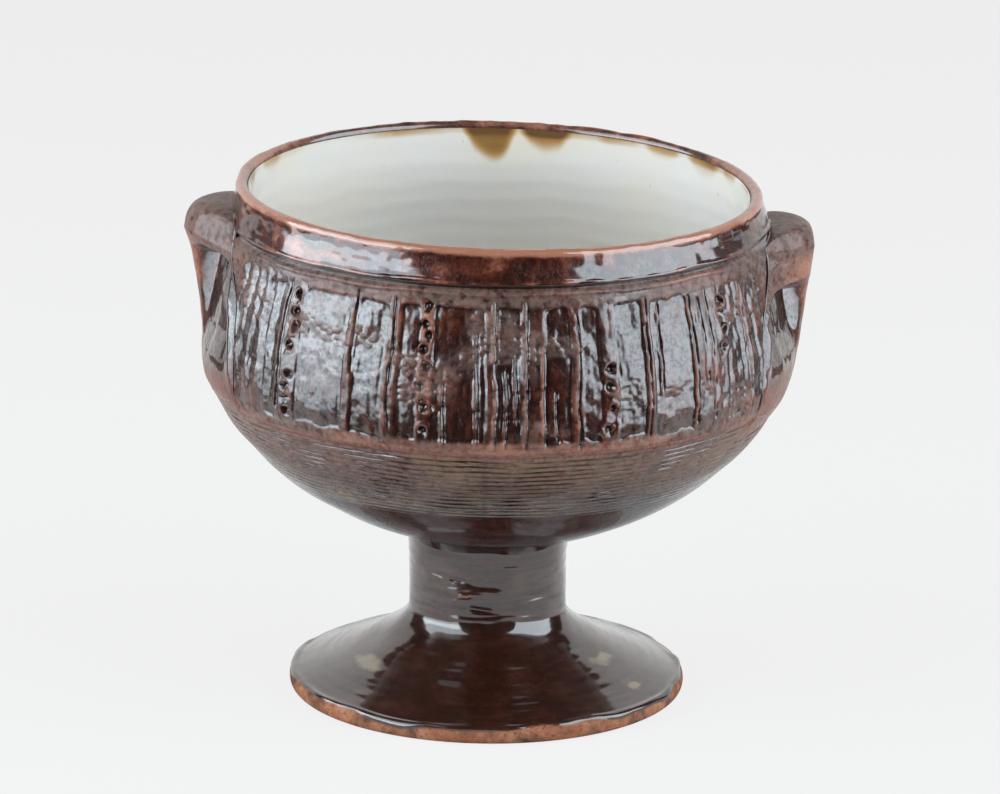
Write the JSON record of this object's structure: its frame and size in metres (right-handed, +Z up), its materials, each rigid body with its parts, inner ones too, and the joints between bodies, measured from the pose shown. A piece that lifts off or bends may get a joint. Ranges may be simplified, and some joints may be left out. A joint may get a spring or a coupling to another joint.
{
  "type": "stoneware chalice",
  "caption": "Hand-thrown stoneware chalice: deep carved bowl with lug handles on a hollow flared pedestal, dark iron glaze outside and white glaze inside",
  "frame": {"origin": "on the table, under the middle of the part's box and on the bowl's axis", "axes": "+Z up along the bowl's axis, +X through the right lug, -Y towards the viewer of the carved front"},
  "size_m": [0.1868, 0.1764, 0.155],
  "materials": {
    "iron_glaze": "glossy dark red-brown iron glaze, rust where it breaks over ridges",
    "white_glaze": "glossy pale grey-white glaze with fine specks",
    "clay_slip": "matt fired joining slip"
  },
  "bodies": {
    "root": {"bowl": "iron_glaze", "liner_glaze": "white_glaze", "pedestal": "iron_glaze", "stem_slip_seam": "clay_slip", "left_lug": "iron_glaze", "left_lug_slip": "clay_slip", "right_lug": "iron_glaze", "right_lug_slip": "clay_slip"}
  },
  "joints": []
}
